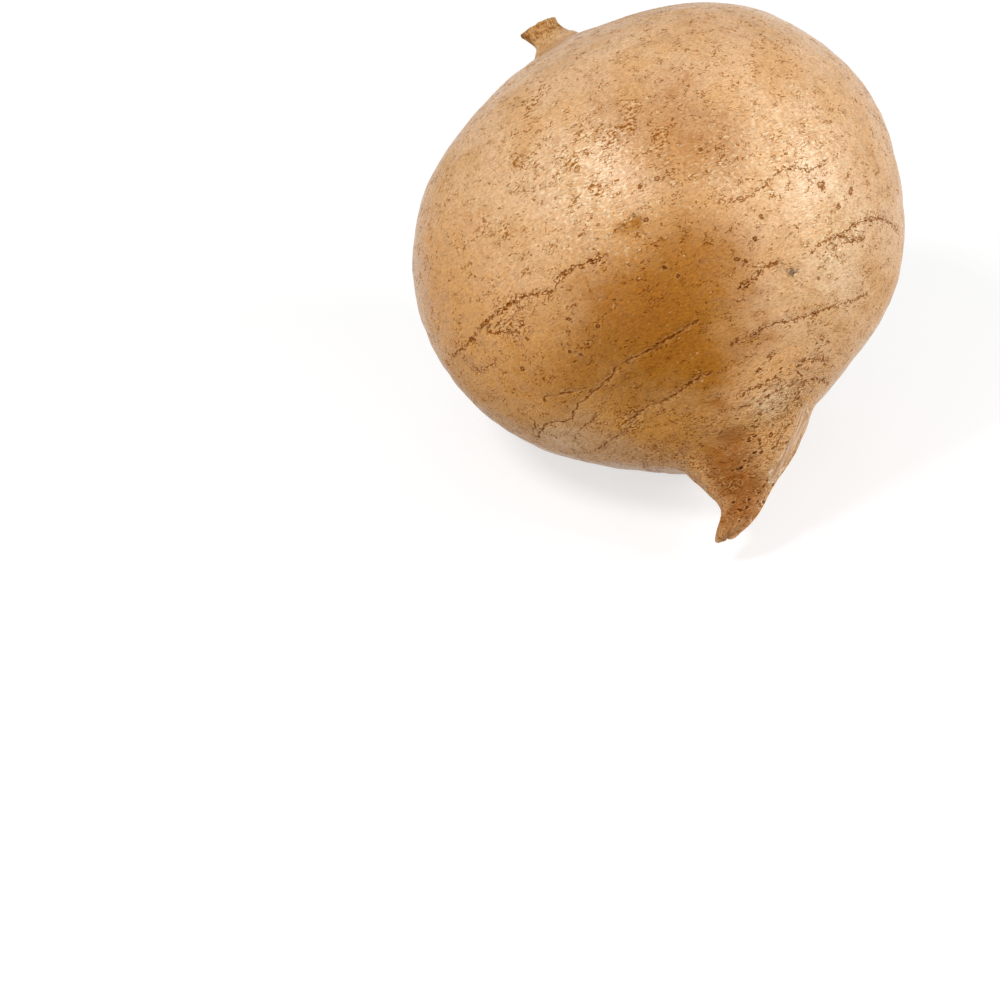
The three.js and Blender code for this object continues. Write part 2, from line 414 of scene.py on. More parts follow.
        "width": 3, "edge": 0.5, "depth": 0.35,
        "ragged": {"height": 0.8, "wavelength": 4, "seed": 31},
        "strings": {"height": 0.4, "wavelength": 2, "squeeze": (1, 1, 0.15), "seed": 12},
    },
    "finish": {
        # some of these colours also stand for light: ochre and golden carry painted shade, golden
        # also painted warm bounce light, cream a painted highlight, and stain some painted shade
        "tan": "#CEA06C", "pale": "#DAB288", "ochre": "#A0671E", "golden": "#C98C40",
        "cream": "#E8C8A2", "ashen": "#CDA172", "stain": "#96591E", "smudge": "#62523F",
        "halo": "#C58A45", "fibre": "#E0BC9A", "split": "#BC9068", "torn": "#E6CDB0",
        # these darken what they cover, one of them a painted shade, and the last two lighten it,
        # the last a painted highlight
        "fleck": "#C0A270", "bead": "#B28E62", "pit": "#B08A60", "shade": "#CDB592",
        "dusky": "#DECFBC", "glow": "#7C684C", "sheen": "#A4967A",
        "patterns": {  # how much finer it is along the axis, size in mm, detail and roughness
            "clouds": (1, 14, 3, 0.5), "mottle": (1, 3.5, 3, 0.6), "grain": (2, 0.9, 3, 0.7),
            "worms": (1.8, 1.5, 1, 0.5), "clumps": (1.5, 4, 2, 0.6), "gaps": (1.6, 1.4, 1, 0.5),
            "dashes": (1.8, 1.1, 1, 0.5), "shake": (1, 1.6, 2, 0.5),
            "wrinkles": (2.6, 1.2, 1, 0.5), "peel": (1, 3, 1, 0.5),
        },
        "fibres": (0.12, 0.6, 2, 0.6),  # the same, along the tail
        "apart": (31, 7, 53),  # how far each pattern's stretch of noise lies from the last one's
        "pitCell": 2.9,  # across a pit, with what lies round it
        "pitSqueeze": 1.3,  # how much finer the pits are along the axis
        "relief": {  # in mm
            "wrinkles": 0.14, "grain": 0.03, "peel": 0.16, "coarse": 0.35, "ridges": 0.02,
            "flecks": -0.03, "scar": -0.08, "core": -0.08, "rim": 0.05, "pits": -0.16,
            "pitRims": 0.06, "strings": 0.5,
        },
        "ior": 1.42,
        "amounts": {  # what the steps of the finish call by name
            "halfBead": 1.05,  # half the way from bead to bead along a scar
            "endStain": 0.15,  # how much the tail and the neck are stained all over
            "smoothest": 0.21, "roughest": 0.35,  # roughness where there is wax
            "dulling": 0.3,  # how much rougher it is where there is none
            "waxShine": 0.36, "bareShine": 0.02,  # specular level with wax and where it wore off
        },
    },
}


# the skin upright, from the outline at t (tail 0, crown 1) and the angle round the axis: the lobed
# radius, the shoulder's rise, the bend of tail and crown, and swellings along the way from the
# middle, each a bell curve over the angle from its place
def tuberSurface(t, angle):
    height, radius = np.moveaxis(splineAt(tuber["outline"], t), -1, 0)
    r = np.maximum(radius, 0) * lobeFactor(angle, tuber["lobes"])
    point = np.stack([r * np.cos(angle), r * np.sin(angle), height + 0 * angle], -1)
    up = np.clip(height / tuber["crownHeight"], 0, 1)
    down = np.clip(-height / tuber["tailLength"], 0, 1)
    rise = tuber["shoulderRise"]
    point[..., 2] += rise["slope"] * (point @ along(rise["towards"])) * up ** rise["power"]
    for bend, share in ((tuber["tailBend"], down), (tuber["crownShift"], up)):
        point += (bend["shift"] * share ** bend["power"])[..., None] * along(bend["towards"])
    outwards = point / np.linalg.norm(point, axis=-1, keepdims=True)
    swell = 0
    for longitude, latitude, size, width in tuber["swellings"]:
        away = degreesFrom(outwards, longitude, latitude)
        swell = swell + size * np.exp(-(away / width) ** 2)
    return point + outwards * swell[..., None]


tuberT, tuberLength = evenRings(tuber["outline"], tuber["rings"])
tuberAngle = np.linspace(0, 2 * math.pi, tuber["sides"], endpoint=False) + 0 * tuberT[:, None]
upright = tuberSurface(tuberT[:, None] + 0 * tuberAngle, tuberAngle)
gridShape = upright.shape[:2]
normals = gridNormals(upright)
uprightFlat, normalsFlat = upright.reshape(-1, 3), normals.reshape(-1, 3)
distances = np.linalg.norm(uprightFlat, axis=1)
directions = uprightFlat / distances[:, None]
axisHeight = splineAt(tuber["outline"], tuberT)[:, 0][:, None] + 0 * tuberAngle


# directions set out to the skin: each times the distance of the grid point nearest its direction
def onSkin(ways):
    ways = ways / np.linalg.norm(ways, axis=1, keepdims=True)
    nearest = (directions @ ways.T).argmax(0)
    return ways * distances[nearest][:, None]


# a path over the skin through globe places: a spline through their directions, set on the skin
def pathOnSkin(places, stepsPerSpan=4):
    corners = globeDirection(*np.array(places, float).T)
    return onSkin(splineAt(corners, np.linspace(0, 1, stepsPerSpan * (len(places) - 1) + 1)))


# for each grid point, its distance from a path, the side it is on (left is 1, right is -1, by the
# sign of step x offset on the normal), and how far along the path its nearest point lies
def distanceToPath(path):
    best = np.full(len(uprightFlat), farAway)
    side, run = np.ones(len(uprightFlat)), np.zeros(len(uprightFlat))
    passed = 0
    for start, end in zip(path[:-1], path[1:]):
        step = end - start
        length = np.linalg.norm(step)
        share = np.clip(((uprightFlat - start) @ step) / length ** 2, 0, 1)
        offset = uprightFlat - start - share[:, None] * step
        away = np.linalg.norm(offset, axis=1)
        closer = away < best
        best = np.where(closer, away, best)
        turn = (np.cross(step, offset) * normalsFlat).sum(1)
        side = np.where(closer, np.where(turn < 0, -1, 1), side)
        run = np.where(closer, passed + share * length, run)
        passed += length
    return best, side, run


scars = list(tuber["scars"])
far = tuber["farScars"]
random = np.random.default_rng(far["seed"])
for latitude in far["latitudes"]:
    longitude = far["from"] + random.uniform(0, far["lead"])
    while longitude < far["to"]:
        reach = random.uniform(*far["reach"])
        count = max(3, int(reach / far["between"]))
        lons = longitude + np.linspace(0, reach, count)
        lats = latitude + random.uniform(*far["off"])
        lats = lats + np.cumsum(random.normal(0, far["wander"], count))
        strength, openness = random.uniform(*far["strength"]), random.uniform(*far["openness"])
        scars.append((list(zip(lons, lats)), strength, openness))
        longitude += reach + random.uniform(*far["gap"])
pocks = list(tuber["pocks"])
for seed, count, *limits in tuber["seededPocks"]:
    low, high = np.array(limits).T
    pocks += np.random.default_rng(seed).uniform(low, high, (count, 3)).tolist()

# Every grid point keeps its nearest scar and its nearest pock, which fade where two are as near.
scarMarks = ("scarAcross", "scarRun", "scarStrength", "crack")
marks = {name: np.zeros(len(uprightFlat)) for name in scarMarks}
grooves = tuber["grooves"]
nearest, second = np.full((2, len(uprightFlat)), farAway)
for places, strength, openness in scars:
    away, side, run = distanceToPath(pathOnSkin(places))
    closer = away < nearest
    second = np.where(closer, nearest, np.minimum(second, away))
    nearest = np.where(closer, away, nearest)
    fade = strength * smoothStep(0, grooves["taper"], run)
    fade = fade * smoothStep(0, grooves["taper"], run.max() - run)
    for name, value in zip(scarMarks, (away * side, run, fade, openness)):
        marks[name] = np.where(closer, value, marks[name])
felt = smoothStep(grooves["reach"], grooves["full"], nearest)
marks["scarStrength"] *= np.clip(second - nearest, 0, 1) * felt
nearestScar = nearest

dips = tuber["pockDips"]
nearest, second = np.full((2, len(uprightFlat)), farAway)
pockPlace = np.zeros((len(uprightFlat), 3))  # east and north of the pock's middle, in its radii
pockDip = np.zeros(len(uprightFlat))
pocks = np.array(pocks)
for centre, radius in zip(onSkin(globeDirection(pocks[:, 0], pocks[:, 1])), pocks[:, 2]):
    offset = uprightFlat - centre
    away = np.linalg.norm(offset, axis=1)
    east = np.array([-centre[1], centre[0], 0]) / np.hypot(centre[0], centre[1])
    north = np.cross(centre / np.linalg.norm(centre), east)
    closer = away < nearest
    second = np.where(closer, nearest, np.minimum(second, away))
    nearest = np.where(closer, away, nearest)
    placed = np.stack([offset @ east / radius, offset @ north / radius, 0 * away], 1)
    pockPlace[closer] = placed[closer]
    pockDip -= dips["depth"] * smoothStep(*dips["radii"], radius) * np.exp(-(away / radius) ** 2)
felt = smoothStep(dips["reach"], dips["full"], nearest)
marks["pockStrength"] = np.clip(second - nearest, 0, 1) * felt

# Each patch is a sum of bell curves over the angle from its place.
for name, places in tuber["patches"].items():
    marks[name] = 0
    for longitude, latitude, width, strength in places:
        away = degreesFrom(directions, longitude, latitude)
        marks[name] = marks[name] + strength * np.exp(-(away / width) ** 2)
strip = tuber["wornStrip"]
ragged = distanceToPath(pathOnSkin(strip["path"]))[0] + ripples(uprightFlat, strip["ragged"])
marks["worn"] = smoothStep(strip["width"] + strip["edge"], strip["width"] - strip["edge"], ragged)
besideScar = smoothStep(*grooves["flecked"], nearestScar)
marks["fleckle"] += grooves["flecks"] * marks["scarStrength"] * besideScar
marks = {name: value.reshape(gridShape) for name, value in marks.items()}
marks["tail"] = smoothStep(*tuber["tailSkin"], axisHeight)
marks["neck"] = smoothStep(*tuber["neckSkin"], axisHeight)

# Relief along the normals: broad lumps, growth rings that run round the girth, creases along the
# tail, pleats round the neck, the scars' grooves with a low lip on each side, the pocks' dips and
# the strip worn down to uneven fibres.
growPlace = np.stack([upright[..., 0], upright[..., 1], tuberLength[:, None] + 0 * tuberAngle], -1)
girth = tuber["tailGirth"]
tailPlace = np.stack([girth * np.cos(tuberAngle), girth * np.sin(tuberAngle),
                      growPlace[..., 2]], -1)
relief = 0
for lumps in tuber["lumps"]:
    relief = relief + ripples(upright, lumps)
relief += ripples(growPlace, tuber["growthRings"])
creases = tuber["tailCreases"]
relief += smoothStep(*creases["grow"], axisHeight) * ripples(tailPlace, creases)
pleats = tuber["neckPleats"]
pleated = smoothStep(*pleats["grow"], axisHeight) * smoothStep(*pleats["fade"], axisHeight)
turned = pleats["count"] * tuberAngle + ripples(upright, pleats["wander"])
relief += pleats["height"] * pleated * np.sin(turned)
across = nearestScar.reshape(gridShape)
lips = grooves["lip"] * np.exp(-((across - grooves["lipAway"]) / grooves["width"]) ** 2)
grooved = lips - np.exp(-(across / grooves["width"]) ** 2)
relief += grooves["depth"] * marks["scarStrength"] * grooved
relief += pockDip.reshape(gridShape)
relief -= strip["depth"] * marks["worn"] * (1 + ripples(tailPlace, strip["strings"]))
relief[0] = relief[1].mean()
relief[-1] = relief[-2].mean()
skinUpright = upright + normals * relief[..., None]


# turns upright points over: about the level axis by the lean, then about Z by the heading
def layOver(points):
    a, b = math.radians(tuber["heading"]), math.radians(tuber["lean"])
    turnY = np.array([[math.cos(b), 0, math.sin(b)], [0, 1, 0], [-math.sin(b), 0, math.cos(b)]])
    turnZ = np.array([[math.cos(a), -math.sin(a), 0], [math.sin(a), math.cos(a), 0], [0, 0, 1]])
    return points @ (turnZ @ turnY).T


# The smooth shape's own box goes where the frame's box is: centred in X and Y, and with its top.
# What reaches below the table is pressed flat on it.
tuberLow, tuberHigh = (np.array(corner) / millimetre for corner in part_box("tuber"))
laid = layOver(upright)
laidLow, laidHigh = laid.min((0, 1)), laid.max((0, 1))
middle = (tuberLow + tuberHigh) / 2 - (laidLow + laidHigh) / 2
middle[2] = tuberHigh[2] - laidHigh[2]
skinPoints = layOver(skinUpright) + middle
skinPoints[..., 2] = np.maximum(skinPoints[..., 2], tuberLow[2])
places = {"growPlace": growPlace, "tailPlace": tailPlace,
          "pockPlace": pockPlace.reshape(gridShape + (3,))}
skin = closedMesh("skin", skinPoints, {**places, **marks})
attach(skin, "root")
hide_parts("tuber")
print("skin shaped:", len(skin.data.vertices), "points, middle at", np.round(middle, 2))


# Jicama cork: a thin tan periderm, waxed and washed, grown in fine wrinkles round the girth.
# To the eye it is matt leather with a soft broken shine, flecked brown where it is corky.
# Its colour also holds painted light in patches: painted shade, painted highlights and painted
# warm bounce light.
def waxedCork():
    finish = tuber["finish"]
    material = bpy.data.materials.new("waxedCork")
    node = emptyTree(material)
    place, tailPlace, pockPlace = (node("Attribute", {}, "Vector", attribute_name=name)
                                   for name in ("growPlace", "tailPlace", "pockPlace"))
    mark = {name: node("Attribute", {}, "Fac", attribute_name=name) for name in marks}
    pattern = {}
    kinds = [(name, place) + numbers for name, numbers in finish["patterns"].items()]
    kinds.append(("fibres", tailPlace) + finish["fibres"])
    for index, (name, origin, squeeze, size, detail, rough) in enumerate(kinds):
        shift = [index * gap for gap in finish["apart"]]
        there = node("Mapping", {"Vector": origin, "Location": shift, "Scale": (1, 1, squeeze)})
        pattern[name] = node("TexNoise", {"Vector": there, "Scale": 1 / size, "Detail": detail,
                                          "Roughness": rough})
    pitPlace = node("Mapping", {"Vector": place, "Scale": (1, 1, finish["pitSqueeze"])})
    values = {
        **finish["amounts"], **pattern, **mark,
        "pockAway": node("VectorMath", {0: pockPlace}, "Value", operation="LENGTH"),
        "cells": node("TexVoronoi", {"Vector": pitPlace, "Scale": 1 / finish["pitCell"]},
                      "Distance"),
        "stringy": node("Math", {0: mark["rough"], 1: 0.5}, operation="MULTIPLY",
                        use_clamp=True),
    }
    workOut(node, [
        # flecks: worm-like dashes, and short ones that crowd where the fleckle mark is high
        ("crowd", "MULTIPLY_ADD", "clumps", 2.6, -1.25),
        ("crowd", "ADD", "crowd", "fleckle"),
        ("crowd", "MULTIPLY_ADD", "gaps", 1.5, "crowd"),
        ("crowded", "RAMP", "crowd", 1.35, 1.55),
        ("wormed", "RAMP", "crowd", 0.94, 1.04),
        ("wormed", "SUBTRACT", "wormed", "crowded"),
        ("thick", "RAMP", "crowd", 1, 1.6, 0.03, 0.04),
        ("worms", "COMPARE", "worms", 0.5, "thick"),
        ("worms", "MULTIPLY", "worms", "wormed"),
        ("flecks", "RAMP", "dashes", 0.54, 0.58),
        ("flecks", "MULTIPLY", "flecks", "crowded"),
        ("flecks", "MAXIMUM", "worms", "flecks"),
        ("between", "RAMP", "dashes", 0.48, 0.4),
        ("bright", "MULTIPLY", "between", "crowded"),
        # polished ridges, raised a little and painted pale as a painted highlight: short and close
        # together where the painted sheen mark is high
        ("ridges", "MULTIPLY_ADD", "gaps", 2, "sheen"),
        ("ridges", "RAMP", "ridges", 1.1, 2),
        ("ridges", "MULTIPLY", "between", "ridges"),
        # scars: a thin shaken line, whole where it is an open crack and broken where it isn't
        ("whole", "RAMP", "gaps", 0.44, 0.48),
        ("across", "MULTIPLY_ADD", "shake", 2.2, -1.1),
        ("across", "ADD", "scarAcross", "across"),
        ("across", "ABSOLUTE", "across"),
        ("line", "RAMP", "across", 0.3, 0.12),
        ("broken", "MAXIMUM", "whole", "crack"),
        ("line", "MULTIPLY", "line", "broken"),
        # and strung with corky beads that have a paler middle
        ("strung", "MULTIPLY_ADD", "mottle", 6, "scarRun"),
        ("strung", "PINGPONG", "strung", "halfBead"),
        ("strung", "LENGTH", "strung", "across"),
        ("strung", "MULTIPLY_ADD", "gaps", 1.6, "strung"),
        ("beads", "COMPARE", "strung", 1.3, 0.18),
        ("beaded", "RAMP", "crack", 0.1, 0.6, 1, 0.1),
        ("beads", "MULTIPLY", "beaded", "beads"),
        ("beaded", "RAMP", "dashes", 0.4, 0.5, 0.25),
        ("beads", "MULTIPLY", "beaded", "beads"),
        ("beadMiddles", "RAMP", "strung", 1.1, 0.8),
        ("beadMiddles", "MULTIPLY", "beadMiddles", "scarStrength"),
        ("scar", "MAXIMUM", "line", "beads"),
        ("scarred", "RAMP", "scarStrength", 0.05, 0.7),
        ("scar", "MULTIPLY", "scar", "scarred"),
        ("lips", "COMPARE", "across", 0.6, 0.17),
        ("lips", "MULTIPLY", "lips", "crack"),
        ("lips", "MULTIPLY", "lips", "scarStrength"),
        # pocks: a dark broken core with a paler eye, and a pale ring round it
        ("pockAway", "MULTIPLY_ADD", "dashes", 2.2, "pockAway"),
        ("eye", "RAMP", "pockAway", 1.55, 1.2, 0, 0.45),
        ("core", "RAMP", "pockAway", 1.95, 1.75),
        ("core", "SUBTRACT", "core", "eye"),
        ("core", "MULTIPLY", "core", "pockStrength"),
        ("rim", "COMPARE", "pockAway", 2.2, 0.2),
        ("rim", "MULTIPLY", "rim", "pockStrength"),
        # pits: the middles of scattered cells, dark with a paler rim, where the tail is rough
        ("cells", "MULTIPLY_ADD", "dashes", 0.4, "cells"),
        ("rugged", "MULTIPLY_ADD", "gaps", 2, -1),
        ("rugged", "ADD", "rugged", "rough"),
        ("rugged", "RAMP", "rugged", 0.3, 0.6),
        ("pits", "RAMP", "cells", 0.42, 0.34),
        ("pits", "MULTIPLY", "pits", "rugged"),
        ("pitRims", "COMPARE", "cells", 0.49, 0.05),
        ("pitRims", "MULTIPLY", "pitRims", "rugged"),
        # broad tones shift with the mottling and the clouds, so that their edges are uneven
        ("uneven", "MULTIPLY_ADD", "mottle", 0.7, -0.9),
        ("uneven", "MULTIPLY_ADD", "clouds", 1.1, "uneven"),
        *((name, "ADD", name, "uneven")
          for name in ("ochre", "golden", "cream", "ashen", "dusky", "stain")),
        ("ends", "MAXIMUM", "tail", "neck"),
        ("ends", "MULTIPLY_ADD", "ends", "endStain", "stain"),
        ("smudged", "RAMP", "shake", 0.4, 0.55),
        ("smudge", "MULTIPLY", "smudged", "smudge"),
        # coarser wrinkles where the tail is rough, and fibres there and on the worn strip
        ("coarse", "MULTIPLY", "wrinkles", "rough"),
        ("strings", "MAXIMUM", "stringy", "worn"),
        ("strings", "MULTIPLY", "fibres", "strings"),
        ("split", "RAMP", "fibres", 0.42, 0.62),
        ("torn", "COMPARE", "worn", 0.6, 0.13),
        ("torn", "MULTIPLY", "torn", "whole"),
        # wax lies on the smooth skin, and cork and bare fibres take none
        ("dull", "MAXIMUM", "flecks", "worn"),
        ("dull", "MAXIMUM", "scar", "dull"),
        ("dull", "MAXIMUM", "core", "dull"),
        ("dull", "MAXIMUM", "pits", "dull"),
        ("roughness", "RAMP", "mottle", 0.3, 0.7, "smoothest", "roughest"),
        ("roughness", "MULTIPLY_ADD", "dull", "dulling", "roughness"),
        ("bare", "MAXIMUM", "bare", "dull"),
        ("gloss", "RAMP", "bare", 0, 1, "waxShine", "bareShine"),
    ], values)
    # each layer: what it follows, where it starts and is full, its share, colour and blend
    colour = paintLayers(node, finish, "tan", [
        ("clouds", 0.35, 0.65, 1, "pale", "MIX"),
        ("mottle", 0.5, 0.7, 0.5, "ashen", "MIX"),
        # partly skin tone, partly painted bounce light and painted shade
        ("golden", 0.1, 1, 0.9, "golden", "MIX"),
        # partly pale skin, partly painted highlight
        ("cream", 0.1, 1, 0.8, "cream", "MIX"),
        ("ashen", 0.1, 1, 0.8, "ashen", "MIX"),
        # painted shade, multiplied in
        ("dusky", 0.1, 1, 1, "dusky", "MULTIPLY"),
        # partly skin tone, partly painted shade
        ("ochre", 0, 1.3, 0.98, "ochre", "MIX"),
        # real stain on the tail and neck, with painted shade from the patches
        ("ends", 0.1, 1.1, 0.9, "stain", "MIX"),
        ("mottle", 0.5, 0.35, 0.3, "shade", "MULTIPLY"),
        ("grain", 0.5, 0.64, 0.5, "shade", "MULTIPLY"),
        ("grain", 0.5, 0.36, 0.9, "glow", "DODGE"),
        # painted highlight on the ridges
        ("ridges", 0, 1, 0.9, "sheen", "SCREEN"),
        ("crowd", 1.3, 2.2, 0.3, "halo", "MIX"),
        ("smudge", 0.1, 0.9, 0.8, "smudge", "MIX"),
        ("bright", 0, 1, 0.8, "glow", "SCREEN"),
        ("beadMiddles", 0, 1, 0.8, "glow", "SCREEN"),
        ("rim", 0, 1, 0.4, "glow", "SCREEN"),
        ("pitRims", 0, 1, 0.9, "glow", "SCREEN"),
        ("flecks", 0, 1, 1, "fleck", "MULTIPLY"),
        ("pits", 0, 1, 1, "pit", "MULTIPLY"),
        ("core", 0, 1, 1, "bead", "MULTIPLY"),
        ("lips", 0, 0.6, 0.6, "glow", "SCREEN"),
        ("scar", 0, 1, 1, "bead", "MULTIPLY"),
    ], values)
    fibre, split, torn = (linearColour(finish[name]) for name in ("fibre", "split", "torn"))
    bared = node("Mix", {0: values["split"], mixBase: fibre, mixTint: split}, mixResult,
                 data_type="RGBA")
    for share, tint in ((mark["worn"], bared), (values["torn"], torn)):
        colour = node("Mix", {0: share, mixBase: colour, mixTint: tint}, mixResult,
                      data_type="RGBA")
    bump = node("Bump", {"Height": addUpRelief(node, finish, values), "Strength": 1.0,
                         "Distance": millimetre}, "Normal")
    shader = node("BsdfPrincipled", {
        "Base Color": colour, "Roughness": values["roughness"], "Metallic": 0.0,
        "IOR": finish["ior"], "Specular IOR Level": values["gloss"], "Normal": bump,
    })
    node("OutputMaterial", {"Surface": shader})
    return material


skin.data.materials.append(waxedCork())
print("skin finished as waxed cork")


# The vine's stub stands on the neck, drawn upright from its own foot.
stub = {
    "outline": [  # height above the crown's neck and radius; the foot starts inside the neck
        (-1.2, 0), (-1.2, 4.4), (-0.3, 5.3), (0.5, 5.4), (1.6, 4.9), (3.2, 4.5), (5, 4.6),
        (6.5, 5.05), (7.1, 4.9), (7.25, 4.2), (7.1, 2.2), (7, 0),
    ],
    "lean": {"angle": 5, "towards": 65},
    "drift": {"shift": 1.8, "towards": 65, "over": 7.3},
    "ridges": [{"count": 5, "share": 0.04, "towards": 20}],
    "slant": {"slope": 0.3, "towards": -25, "power": 3},  # the cut stands higher on this side
    "rings": 90,
    "sides": 160,
    "barkRidges": {
        "height": 0.06, "wavelength": 1.8, "squeeze": (1, 1, 0.4), "seed": 21, "grow": (0, 1.5),
    },
    "raggedEnd": {"height": 0.1, "wavelength": 2.2, "seed": 22, "grow": (5.8, 7)},
    "foot": (3.6, 0.6),  # heights between which the bark turns to the root's skin
    "cutEnd": {"heights": (6.6, 7.1), "radii": (5.2, 4.6)},  # where it turns to cut wood
    "finish": {
        "bark": "#B27B3C", "light": "#CFA166", "dark": "#7A4A18", "skin": "#D0A36C",
        "wood": "#C9A26B", "pith": "#8A5A2B",
        "patterns": {  # how much finer it is along the stub, size in mm and detail
            "strings": (0.45, 0.8, 3), "mottle": (1, 1.5, 3), "grain": (1, 0.5, 2),
        },
        "relief": {"strings": -0.2, "grain": 0.12},  # in mm
        "ior": 1.45,
        "roughness": (0.82, 0.5),  # the bark's, and the skin's at the foot
    },
}


# the bark upright, from the outline at t and the angle: the lobed radius, risen by the slant
# times a power of the height's share, and drifting sideways by smoothStep of the height
def stubSurface(t, angle):
    height, radius = np.moveaxis(splineAt(stub["outline"], t), -1, 0)
    r = np.maximum(radius, 0) * lobeFactor(angle, stub["ridges"])
    point = np.stack([r * np.cos(angle), r * np.sin(angle), height + 0 * angle], -1)
    slant, drift = stub["slant"], stub["drift"]
    rise = slant["slope"] * (point @ along(slant["towards"]))
    point[..., 2] += rise * np.clip(height / drift["over"], 0, 1) ** slant["power"]
    shift = drift["shift"] * smoothStep(0, drift["over"], height)
    return point + shift[..., None] * along(drift["towards"])


stubT, stubLength = evenRings(stub["outline"], stub["rings"])
stubAngle = np.linspace(0, 2 * math.pi, stub["sides"], endpoint=False) + 0 * stubT[:, None]
stubPoints = stubSurface(stubT[:, None] + 0 * stubAngle, stubAngle)
stubHeight, stubRadius = np.moveaxis(splineAt(stub["outline"], stubT), -1, 0)
stubHeight, stubRadius = stubHeight[:, None] + 0 * stubAngle, stubRadius[:, None] + 0 * stubAngle
stubPlace = np.stack([stubPoints[..., 0], stubPoints[..., 1],
                      stubLength[:, None] + 0 * stubAngle], -1)
bark, end = stub["barkRidges"], stub["raggedEnd"]
barkRelief = ripples(stubPlace, bark) * smoothStep(*bark["grow"], stubHeight)
stubPoints = stubPoints + gridNormals(stubPoints) * barkRelief[..., None]
stubPoints[..., 2] += smoothStep(*end["grow"], stubHeight) * ripples(stubPlace, end)
stubPoints[0], stubPoints[-1] = stubPoints[0].mean(0), stubPoints[-1].mean(0)
# It stands on the neck's top, tilted: Z goes to the lean's direction by the shortest turn.
stubAxis = Vector(globeDirection(stub["lean"]["towards"], 90 - stub["lean"]["angle"]))
tilt = np.array(Vector((0, 0, 1)).rotation_difference(stubAxis).to_matrix())
neckTop = tuberSurface(np.array([[1.0]]), np.array([[0.0]]))[0, 0]
stubPoints = layOver(stubPoints @ tilt.T + neckTop) + middle
cut = stub["cutEnd"]
stubPiece = closedMesh("stub", stubPoints, {
    "growPlace": stubPlace,
    "foot": smoothStep(*stub["foot"], stubHeight),
    "cutEnd": smoothStep(*cut["heights"], stubHeight) * smoothStep(*cut["radii"], stubRadius),
    "fromPith": stubRadius,
})
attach(stubPiece, "root")
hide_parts("vine_stub")
print("stub shaped:", len(stubPiece.data.vertices), "points")


# Dried vine bark: a thin woody rind, split lengthwise as it dried, with a rough cut end.
# To the eye it is dull and stringy, lighter on its ridges and dark in its splits.
def driedBark():
    finish = stub["finish"]
    material = bpy.data.materials.new("driedBark")
    node = emptyTree(material)
    place = node("Attribute", {}, "Vector", attribute_name="growPlace")
    foot, cutEnd, fromPith = (node("Attribute", {}, "Fac", attribute_name=name)
                              for name in ("foot", "cutEnd", "fromPith"))
    pattern = {}
    for name, (squeeze, size, detail) in finish["patterns"].items():
        there = node("Mapping", {"Vector": place, "Scale": (1, 1, squeeze)})
        pattern[name] = node("TexNoise", {"Vector": there, "Scale": 1 / size, "Detail": detail})
    rough, smooth = finish["roughness"]
    values = {**pattern, "foot": foot, "cutEnd": cutEnd, "fromPith": fromPith}
    workOut(node, [
        ("swing", "SUBTRACT", "mottle", 0.5),
        ("foot", "ADD", "foot", "swing"),
        ("pith", "RAMP", "fromPith", 1.6, 1.1),
        ("pith", "MULTIPLY", "pith", "cutEnd"),
        ("roughness", "RAMP", "foot", 0.1, 0.9, rough, smooth),
    ], values)
    # each layer: what it follows, where it starts and is full, its share, colour and blend
    colour = paintLayers(node, finish, "bark", [
        ("mottle", 0.42, 0.58, 1, "light", "MIX"),
        ("strings", 0.5, 0.66, 0.6, "dark", "MIX"),
        ("mottle", 0.46, 0.34, 0.75, "dark", "MIX"),
        ("foot", 0.1, 0.9, 0.95, "skin", "MIX"),
        ("cutEnd", 0, 1, 1, "wood", "MIX"),
        ("pith", 0, 1, 0.9, "pith", "MIX"),
        ("grain", 0.5, 0.64, 0.6, "dark", "MIX"),
        ("grain", 0.48, 0.34, 0.4, "skin", "MIX"),
    ], values)
    bump = node("Bump", {"Height": addUpRelief(node, finish, values), "Strength": 1.0,
                         "Distance": millimetre}, "Normal")
    shader = node("BsdfPrincipled", {
        "Base Color": colour, "Roughness": values["roughness"], "Metallic": 0.0,
        "IOR": finish["ior"], "Normal": bump,
    })
    node("OutputMaterial", {"Surface": shader})
    return material


stubPiece.data.materials.append(driedBark())
print("stub finished as dried bark")


# The table, the air and the lamps. For the camera and in reflections the table and the air are
# white, by a light that lights nothing else, and the table keeps its shadow.
studio = {
    "tableSize": 12.0, "tableColour": "#B4B4B4",
    "tableLift": (0.64, 1.0),  # how bright it shows by itself near the root and away from it
    "whiteFrom": (0.25, 0.6),  # metres out between which the lift grows
    "air": "#FFFFFF", "airStrength": 0.33,
    "boxes": [  # name, direction from the tuber's middle, metres away, side and power
        ("leftBox", (-0.47, -0.45, 0.76), 0.75, 0.17, 2.75),
        ("rightBox", (0.86, -0.18, 0.46), 0.75, 0.3, 2.55),
        ("lowBox", (0.58, -0.8, 0.12), 1.0, 1.0, 4.1),
        ("sideBox", (-0.68, -0.72, 0.1), 1.0, 1.0, 3.4),
        ("backBox", (0.0, 0.45, 0.9), 0.9, 0.5, 0.4),
    ],
}


# 1 for the rays that show the background and 0 for those that light the root: the greatest of
# the camera's, the glossy and the transmission ray
def backgroundRay(node):
    seen = 0.0
    for ray in ("Is Camera Ray", "Is Glossy Ray", "Is Transmission Ray"):
        seen = node("Math", {0: node("LightPath", {}, ray), 1: seen}, operation="MAXIMUM")
    return seen


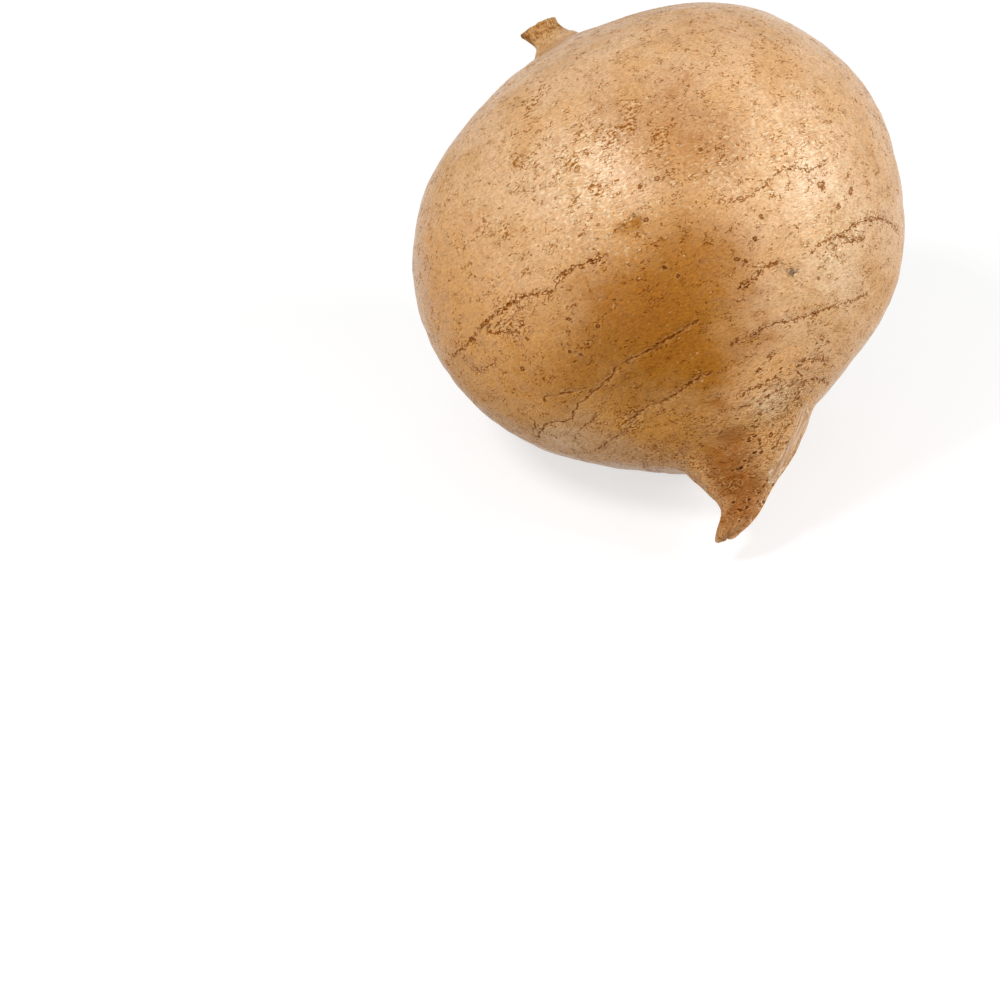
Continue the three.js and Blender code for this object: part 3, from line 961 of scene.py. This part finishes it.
# Matt white paper: to the eye it has no shine, and only the root's soft shadow shows on it.
def whitePaper():
    material = bpy.data.materials.new("whitePaper")
    node = emptyTree(material)
    matt = node("BsdfDiffuse", {"Color": linearColour(studio["tableColour"])})
    away = node("VectorMath", {0: node("TexCoord", {}, "Object")}, "Value", operation="LENGTH")
    nearEnd, farEnd = studio["whiteFrom"]
    nearLift, farLift = studio["tableLift"]
    lift = node("MapRange", {0: away, 1: nearEnd, 2: farEnd, 3: nearLift, 4: farLift})
    lift = node("Math", {0: backgroundRay(node), 1: lift}, operation="MULTIPLY")
    glow = node("Emission", {"Strength": lift})
    node("OutputMaterial", {"Surface": node("AddShader", {0: matt, 1: glow})})
    return material


half = studio["tableSize"] / 2
corners = [(-half, -half, 0), (half, -half, 0), (half, half, 0), (-half, half, 0)]
table = bpy.data.meshes.new("table")
table.from_pydata(corners, [], [(0, 1, 2, 3)])
table.materials.append(whitePaper())
tableTop = bpy.data.objects.new("tableTop", table)
scene.collection.objects.link(tableTop)

world = bpy.data.worlds.new("studioAir")
node = emptyTree(world)
plain = node("Background", {"Color": linearColour(studio["air"]),
                            "Strength": studio["airStrength"]})
white = node("Background", {"Color": (1, 1, 1, 1), "Strength": 1.0})
node("OutputWorld", {"Surface": node("MixShader", {0: backgroundRay(node), 1: plain, 2: white})})
scene.world = world

middlePoint = Vector(middle * millimetre)
for name, direction, distance, side, power in studio["boxes"]:
    lamp = bpy.data.lights.new(name, "AREA")
    lamp.shape = "SQUARE"
    lamp.size = side
    lamp.energy = power
    lampObject = bpy.data.objects.new(name, lamp)
    way = Vector(direction).normalized()
    lampObject.location = middlePoint + way * distance
    lampObject.rotation_euler = way.to_track_quat("Z", "Y").to_euler()
    lampObject.visible_camera = False  # it never shows as a lit square behind the root
    scene.collection.objects.link(lampObject)

# The camera looks along +Y and down. The tuber's middle stands off the picture's centre, by these
# millimetres to the right and up.
shot = {"elevation": 35, "lens": 100, "sensor": 36, "distance": 716.7, "right": 40.56, "up": 68.06}
raised = math.radians(shot["elevation"])
upWay = Vector((0, math.sin(raised), math.cos(raised)))
back = Vector((0, -math.cos(raised), math.sin(raised)))
aim = middlePoint - (Vector((1, 0, 0)) * shot["right"] + upWay * shot["up"]) * millimetre
camera = bpy.data.cameras.new("camera")
camera.lens = shot["lens"]
camera.sensor_width = shot["sensor"]
cameraObject = bpy.data.objects.new("camera", camera)
cameraObject.location = aim + back * shot["distance"] * millimetre
cameraObject.rotation_euler = back.to_track_quat("Z", "Y").to_euler()
scene.collection.objects.link(cameraObject)
scene.camera = cameraObject
scene.view_settings.view_transform = "Standard"
print("studio set")
